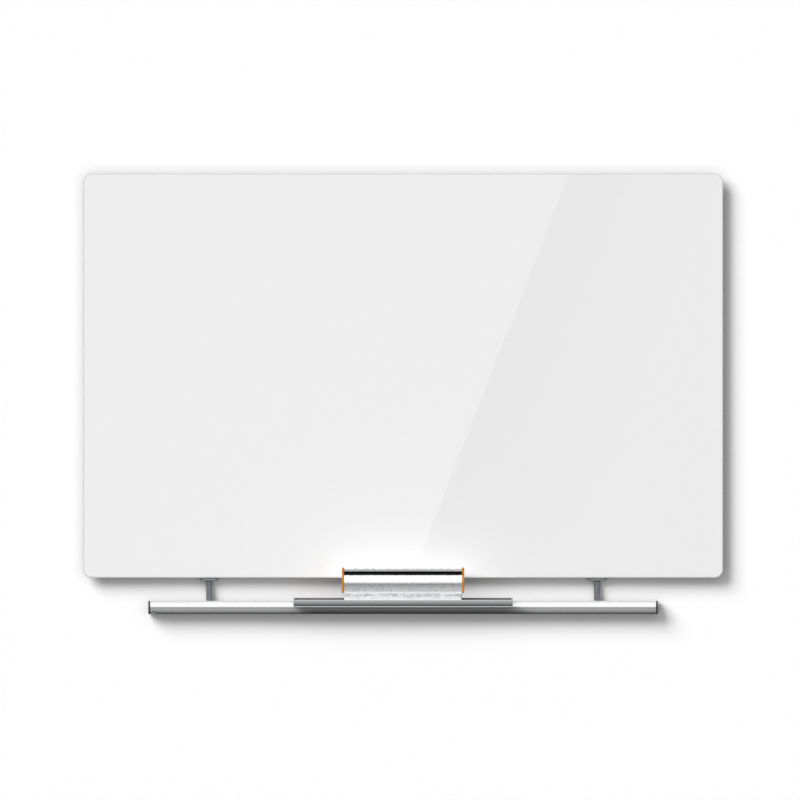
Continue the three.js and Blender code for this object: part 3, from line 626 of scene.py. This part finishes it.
def arc(start, end, bulge, steps=8):
    """Points from start to end on a parabola that stands off their line by `bulge`."""
    start, end = np.array(start, float), np.array(end, float)
    t = np.linspace(0, 1, steps + 1)[:, None]
    chord = end - start
    off = np.array([chord[1], -chord[0]]) / np.hypot(*chord)
    return start + chord * t + off * bulge * 4 * t * (1 - t)


def cut_away(piece, *cutters):
    """Takes the cutters' volumes out of a piece and removes them."""
    for cutter in cutters:
        step = piece.modifiers.new("cut", "BOOLEAN")
        step.object, step.solver = cutter, "EXACT"
    bpy.context.view_layer.update()
    shape = bpy.data.meshes.new_from_object(piece.evaluated_get(bpy.context.evaluated_depsgraph_get()))
    piece.data = shape
    shape.set_sharp_from_angle(angle=np.radians(crisp_angle))
    for step in piece.modifiers[1:]:
        piece.modifiers.remove(step)
    for cutter in cutters:
        bpy.data.objects.remove(cutter)


def cutter(parts):
    """A closed shape with flat faces, to be taken out of a piece."""
    mesh = closed_mesh("cutter", parts)
    mesh.polygons.foreach_set("use_smooth", [False] * len(mesh.polygons))
    return link(bpy.data.objects.new("cutter", mesh))


rail_aluminium = extruded_metal(
    "satin rail aluminium", (0.68, 0.683, 0.69), (0.82, 0.823, 0.828), 0.22, 0.64)
rail_half = 361.25


def rail_outline(*grooved):
    """The rail's outline: (depth, height, reach of the rounding) at each corner, with a slight bulge
    down its lower front and a fine line near the top of it."""
    front = [(25.5, -18.75), (26.9, -17.5), (27.9, -16.7), (28.25, -15.6), (28.65, -13.6), (28.8, -12.2),
             (28.8, -10.9), (29.1, -10.1), (29.12, -9.3)]
    corners = [
        (3.3, 0, 0.8), (3.3, -18.75, 0.8), *grooved[:4], *[(*point, 0.35) for point in front],
        (29.05, -8.22, 0.2), (22.05, -1.38, 0.12), (21.88, -0.05, 0.1), *grooved[4:]]
    corners = np.array(corners, float)
    return section(*rounded(corners[:, :2], corners[:, 2], 4))


rail_body = rail_outline(
    (4.55, -18.75, 0.2), (4.55, -14.9, 0.2), (13.75, -14.9, 0.2), (13.75, -18.75, 0.2),
    (19.6, -0.05, 0.12), (19.6, -7, 0.25), (15, -7, 0.25), (15, 0, 0.25))
rear_hollow = section(*rounded([(5.1, -13.1), (13.2, -13.1), (13.2, -1.8), (5.1, -1.8)], 0.4, 3))
front_hollow = section(*rounded(
    [(15, -16.5), (25.4, -16.5), (27.2, -12.5), (27.2, -8.8), (15, -8.8)], 0.35, 3))
tray_rail = make_piece("tray_rail_finished", extruded(
    [rail_body, rear_hollow, front_hollow], [(x, 0) for x in (-rail_half, -300, 0, 300, rail_half)]),
    [rail_aluminium], "board", ["tray_rail"])
notch_end = -352.3
notch_block = section((0, -25), (40, -25), (40, -14.7), (0, -14.7))
notch_cut = cutter(extruded([notch_block], [(-370, 0), (notch_end, 0)]))
screw_hole = turned([(0, -560), (2.3, -560), (2.3, -500), (0, -500)])
screw_cuts = [cutter([skin(standing(screw_hole, x))]) for x in (-post_place, post_place)]
cut_away(tray_rail, notch_cut, *screw_cuts)


# Rail end caps: dark moulded plastic, pushed into the rail's two hollows. The left one has a
# small tab below, in the rail's notch.

def capped(outline, pegs, outer, inner, tip, edge):
    """A plate from outer to inner in X, with pegs that run on to the tip. Each peg's foot is a hole
    in the plate's inner face."""
    stations = edged(outer, inner, edge)
    plate = np.stack([along(x, drawn_in(outline, inset)) for x, inset in stations])
    parts = [skin(plate), lid(plate[0]), lid(plate[-1], *[along(inner, peg) for peg in pegs])]
    for peg in pegs:
        way = np.sign(tip - inner)
        sides = np.stack([along(inner, peg), along(tip - way * 0.6, peg), along(tip, drawn_in(peg, 0.5))])
        parts += [skin(sides), lid(sides[-1])]
    return parts


dark_plastic = moulded("dark plastic", (0.03, 0.031, 0.033), (0.055, 0.056, 0.06), 0.42)
cap_outline = rail_outline()
cap_outer, cap_inner, cap_tip = 364, 361.4, 352.4
pegs = [
    section(*rounded([(5.4, -12.8), (12.9, -12.8), (12.9, -2.1), (5.4, -2.1)], 0.5, 3)),
    section(*rounded([(15.3, -14.6), (25.9, -14.6), (26.8, -12.4), (26.8, -9.2), (15.3, -9.2)], 0.5, 3))]
tab = section((9.15, -18.6), (25.9, -18.6), (25.9, -15.4), (9.15, -15.4))
for side, name in ((-1, "rail_end_cap_left"), (1, "rail_end_cap_right")):
    parts = capped(cap_outline, pegs, side * cap_outer, side * cap_inner, side * cap_tip, 0.4)
    if side < 0:
        parts += extruded([tab], edged(-362.8, -360, 0.2))
    make_piece(name + "_finished", parts, [dark_plastic], "board", [name])


# Rail screws: zinc-plated steel, with pan heads in the rail's lower groove, a hexagon socket and
# a machine thread. Each goes up through the rail into the tapped end of a post.

head = turned([
    (3.5, -539.6), (3.95, -539.5), (4.15, -539.25), (4.2, -538.9), (4.2, -536.1), (4, -535.9),
    (1.95, -535.9)], sides)
socket_rows = np.array([(0, -538.2), (1.25, -538.2), (1.25, -539.5), (1.4, -539.6)])
socket_edge = np.stack([hexagon(around, apothem) for apothem in socket_rows[:, 0]])
socket = ringed(socket_edge, socket_rows[:, 1:], around)
shank = threaded(1.95, 0.3, 0.7, -535.9, -510.2, sides)
tip = turned([(1.95, -510.2), (1.55, -509.8), (0, -509.8)], sides)
for side, name in ((-1, "rail_screw_left"), (1, "rail_screw_right")):
    rings = standing(np.concatenate([socket, head, shank, tip]), side * post_place)
    make_piece(name + "_finished", [skin(rings)], [zinc_plate], "board", [name])


# Caddy: a shallow extruded trough in grey anodised aluminium. Its back folds over the rail's
# rib as a hook, and its front lip bulges a little above a slot and a bead. A thin plastic cap
# closes each end.

# Both caddy materials are painted darker above the hook's height: painted shade on the hook's front and
# top.
hook_height = -0.5195
caddy_aluminium = extruded_metal(
    "grey caddy aluminium", (0.35, 0.353, 0.358), (0.44, 0.443, 0.448), 0.27, 0.58, painted_shade_above=hook_height)
grey_plastic = extruded_metal(
    "grey plastic", (0.34, 0.343, 0.348), (0.42, 0.423, 0.428), 0.34, 0.5, painted_shade_above=hook_height)
slope_run, slope_drop = 7.3, 7.5
slope_start = np.array([21.8, -0.8])
slope = np.array([slope_run, -slope_drop]) / np.hypot(slope_run, slope_drop)
slope_normal = -np.array([slope[1], -slope[0]])


def slope_depth(offset, height):
    """Depth of a line parallel to the rail's sloping face, that far in front of it, at a height."""
    start = slope_start + slope_normal * offset
    return start[0] + (height - start[1]) * slope[0] / slope[1]


def slope_height(offset, depth):
    """Height of the same line at a depth."""
    start = slope_start + slope_normal * offset
    return start[1] + (depth - start[0]) * slope[1] / slope[0]


outer_gap, inner_gap, floor_bottom, floor_top = 0.8, 2.6, -5.7, -3.9
underside = [
    (slope_depth(outer_gap, floor_bottom), floor_bottom), (79.2, floor_bottom), (79.2, -9), (79.5, -9.3)]
lip = np.concatenate([
    [(82.4, -9.3), (82.8, -9.05), (82.05, -7.5), (79.9, -7.35), (81, -6.2), (82.45, -6)],
    arc((82.45, -6), (82.75, -3.4), 0.1, 4)[1:], arc((82.75, -3.4), (81.75, 1.2), 0.35, 8)[1:]])
floor_back = slope_depth(inner_gap, floor_top)
hook_top = rounded([(24.2, 0.6), (25.9, 4.2), (16.4, 4.4), (16.4, 0)], [0.01, 0.5, 1.2, 0.01], 6)[6:-6]
caddy_section = section(
    (16.4, -5), (18.2, -5), (18.2, 2.6), (23.2, 2.6), (23.2, slope_height(outer_gap, 23.2)),
    *underside, *lip[:-1], (81.5, 1.3), (80.8, 1.3), (80.45, 1.05), (80.45, -2.6), (80.1, -3.4),
    (79.2, floor_top), (floor_back + 0.6, floor_top), (floor_back - 0.3, -3.55),
    (24, slope_height(inner_gap, 24)), *hook_top)
caddy_half, caddy_cap_inner, caddy_cap_outer = 154.55, 154.7, 156.5
make_piece("caddy_tray_finished", extruded([caddy_section], edged(-caddy_half, caddy_half, 0.15, 2)),
           [caddy_aluminium], "caddy", ["caddy_tray"])
cap_section = section(
    (23.25, slope_height(outer_gap, 23.2)), *underside, *lip[:-1],
    (81.5, 1.3), (81, 1.4), (25.3, 4.35), (23.5, 4.4), (23.25, 4.2))
for side, name in ((-1, "caddy_end_cap_left"), (1, "caddy_end_cap_right")):
    cap_ends = edged(side * caddy_cap_inner, side * caddy_cap_outer, 0.35)
    make_piece(name + "_finished", extruded([cap_section], cap_ends),
               [grey_plastic], "caddy", [name])


# Glides: two moulded liners of white nylon, clipped into the caddy's hook near its ends. They
# slide on the rail's rib.

nylon = moulded("white nylon", (0.68, 0.67, 0.63), (0.78, 0.77, 0.73), 0.4, 700)
for node in ("caddy_glide_left", "caddy_glide_right"):
    dress(node, nylon)


# Eraser handle: a bright brushed aluminium extrusion. Its crown sits on a grooved neck, and the
# shoulders run out to sides that flare a little at the foot.

handle_metal, handle_start = new_material("brushed eraser aluminium")
strokes = noise(handle_start, 1500, (60, 1, 1), 5, 0.75)
grain = noise(handle_start, 520, (2, 1, 1), 4, 0.7)
finish_with(handle_start, surface(handle_start, {
    "Base Color": (strokes * 0.4 + grain * 0.6).ramp((0.36, 0), (0.64, 1)).between(
        (0.56, 0.565, 0.58), (0.98, 0.985, 0.99)),
    "Metallic": 1,
    "Roughness": 0.12 + grain * 0.16,
}, grain * 0.7 + strokes * 0.3, 0.0001, 0.35))

foot_level, eraser_middle, handle_end = -507.45, 54.45, 84
side_top, crown_height = 12.3, 34.05
half_turn = np.linspace(0, 1, 11)[:, None]


def bowed(start, pull, end):
    """Points on the parabola that leaves start and reaches end, each time heading for pull."""
    start, pull, end = (np.array(point, float) for point in (start, pull, end))
    return (1 - half_turn) ** 2 * start + 2 * half_turn * (1 - half_turn) * pull + half_turn ** 2 * end


def handle_half(grow, grooves):
    """One side of the handle's outline from foot to crown, as distance from its middle and height."""
    side, neck, crown = 24 + grow, 12.6 + grow, crown_height + grow
    drop = half_turn[::-1]
    flare = np.column_stack([
        side - 1.4 + side_top * (0.085 * drop ** 2 - 0.035 * drop), side_top * (1 - drop)])
    parts = [flare, bowed((side - 1.4, side_top), (side - 4.8, 19.9), (neck, 24.2))]
    if grooves:
        parts += [[(10.4, 24.7), (10.4, 28.75)]]
    parts += [bowed((neck, 28.75), (neck, crown), (10.5, crown))]
    outline = np.concatenate(parts) + (0, foot_level)
    return outline[np.linalg.norm(outline - np.roll(outline, 1, 0), axis=1) > 1e-4]


def both_sides(half):
    """The half outline and its mirror image as one loop, about the eraser's middle."""
    return np.concatenate([half, half[::-1] * (-1, 1)]) + (eraser_middle, 0)


outer = handle_half(0, True)
inner = np.concatenate([
    [(22, 0), (21.4, side_top)], bowed((21.4, side_top), (18, 18.9), (8.4, 22.4))[1:],
    [(8.4, 32.05)]]) + (0, foot_level)
handle_loop = np.concatenate([
    outer, outer[::-1] * (-1, 1), inner * (-1, 1), inner[::-1]]) + (eraser_middle, 0)
make_piece("eraser_handle_finished", extruded([handle_loop], edged(-handle_end, handle_end, 0.15, 2)),
           [handle_metal], "eraser", ["eraser_handle"], 28)


# Grips: black rubber strips with fine ribs, let into the groove on either side of the neck. Both
# run the whole length of the handle, from one end cap to the other.

grip_stations = [(x, 0) for x in np.linspace(-handle_end, handle_end, 57)]
for way, name in ((1, "eraser_grip_front"), (-1, "eraser_grip_back")):
    rib = 0.12 * np.abs(np.sin(np.linspace(0, 5 * np.pi, 41)))
    face = np.column_stack([12.1 + rib, np.linspace(-482.5, -478.95, 41)])
    strip = np.concatenate([[(10.55, -482.6), (12, -482.6)], face, [(12, -478.85), (10.55, -478.85)]])
    strip = strip * (way, 1) + (eraser_middle, 0)
    make_piece(name + "_finished", extruded([strip], grip_stations),
               [rubber], "eraser", [name])


# Eraser end caps: orange moulded plastic, pushed into the handle's hollow. They follow the
# handle's outline, stand a little proud of it and reach down past its foot.

orange_plastic = moulded(
    "orange plastic", (0.47, 0.161, 0.003), (0.56, 0.215, 0.007), 0.36, 1200, 0.00003, 0.3)
cap_half = handle_half(0.2, False)
cap_half = np.concatenate([
    rounded([(15, -509.35), (24.2, -509.35), (24.2, -500), (15, -500)], [0.01, 2, 0.01, 0.01], 6)[6:13],
    cap_half[2:]])
cap_loop = both_sides(cap_half)
peg_loop = np.array([(-8.1, -485.05), (8.1, -485.05), (8.1, -475.7), (-8.1, -475.7)]) + (eraser_middle, 0)
end_outer, end_inner, end_tip = 87.45, 84.15, 76.15
for side, name in ((-1, "eraser_end_cap_left"), (1, "eraser_end_cap_right")):
    parts = capped(cap_loop, [peg_loop], side * end_outer, side * end_inner, side * end_tip, 0.6)
    make_piece(name + "_finished", parts, [orange_plastic], "eraser", [name])


# Carrier and magnets: a white moulded plate between handle and felt, over two nickel-plated
# magnets that hold the eraser to the board.

white_plastic = moulded("white plastic", (0.9, 0.9, 0.895), (0.95, 0.95, 0.945), 0.34, 900)
dress("eraser_pad_carrier", white_plastic)
nickel = extruded_metal("nickel plate", (0.55, 0.54, 0.5), (0.68, 0.67, 0.63), 0.18, 1, 0.15)
for node in ("eraser_magnet_left", "eraser_magnet_right"):
    dress(node, nickel)


# Felt pad: a block of pressed grey-white wool felt glued under the carrier, with a pocket for
# each magnet. Its sides are slightly uneven and fuzzy.

felt, felt_start = new_material("wool felt")
fibres = noise(felt_start, 900, (2.5, 1, 0.8), 6, 0.75)
tufts = noise(felt_start, 380, (2, 1, 0.8), 5, 0.7)
up = object_place(felt_start, "Z")
# The felt is painted lighter towards its bottom and along its top edge: painted light.
felt_light_below, lower_rate, felt_light_above, upper_rate = -0.5125, 140, -0.5118, 500
painted_felt_light = felt_start.math("MULTIPLY", felt_light_below - up, lower_rate, clamp=True) + felt_start.math(
    "MULTIPLY", up - felt_light_above, upper_rate, clamp=True)
finish_with(felt_start, surface(felt_start, {
    "Base Color": (fibres * 0.4 + tufts * 0.6).ramp((0.42, 0), (0.58, 1)).between(
        painted_felt_light.between((0.34, 0.36, 0.38), (0.85, 0.865, 0.87)),
        painted_felt_light.between((0.86, 0.88, 0.89), (1, 1, 1))),
    "Roughness": 0.95,
    "Sheen Weight": 0.3,
    "Specular IOR Level": 0.15,
}, fibres * 0.8 + tufts * 0.4, 0.0006, 0.7))


def evenly(outline, count):
    """The outline's points moved to even steps along it."""
    closed = np.concatenate([outline, outline[:1]])
    run = np.concatenate([[0], np.cumsum(np.linalg.norm(np.diff(closed, axis=0), axis=1))])
    steps = np.linspace(0, run[-1], count, endpoint=False)
    return np.column_stack([np.interp(steps, run, closed[:, 0]), np.interp(steps, run, closed[:, 1])])


felt_half, felt_rear, felt_front, felt_bottom, felt_top = 84, 31.15, 77.75, -524.4, -509.5
columns, layers = 640, 26
felt_outline = evenly(rounded([
    (-felt_half, felt_rear), (felt_half, felt_rear), (felt_half, felt_front), (-felt_half, felt_front)],
    1.5, 8), columns)
fuzz = np.random.default_rng(5).normal(size=(layers, columns))
for shift in (1, 2):
    fuzz = (fuzz + np.roll(fuzz, shift, 1) + np.roll(fuzz, -shift, 1) + np.roll(fuzz, shift, 0)) / 4
rows = np.linspace(felt_bottom, felt_top, layers)
rim = np.minimum(rows - felt_bottom, felt_top - rows)
pull_in = 0.45 - 0.45 * np.clip(rim / 0.9, 0, 1) ** 0.5
felt_rings = np.stack([
    np.column_stack([*drawn_in(felt_outline, 0.12 + pulled).T, np.full(columns, height)])
    for height, pulled in zip(rows, pull_in)])
outwards = felt_outline - drawn_in(felt_outline, 1)
felt_rings[:, :, :2] += outwards * np.clip(fuzz, -0.3, 0.3)[:, :, None] * 0.35
felt_rings[:, :, 1] *= -1
pocket = turned([(8.3, felt_top), (8.3, -521.4), (0, -521.4)])
pockets = [pocket + np.array([x, -eraser_middle, 0]) for x in (-48, 48)]
felt_top_lid = lid(felt_rings[-1], pockets[0][0], pockets[1][0])
felt_pad = make_piece("eraser_felt_pad_finished", [
    skin(felt_rings), lid(felt_rings[0]), felt_top_lid, *map(skin, pockets)],
    [felt], "eraser", ["eraser_felt_pad"], 60)
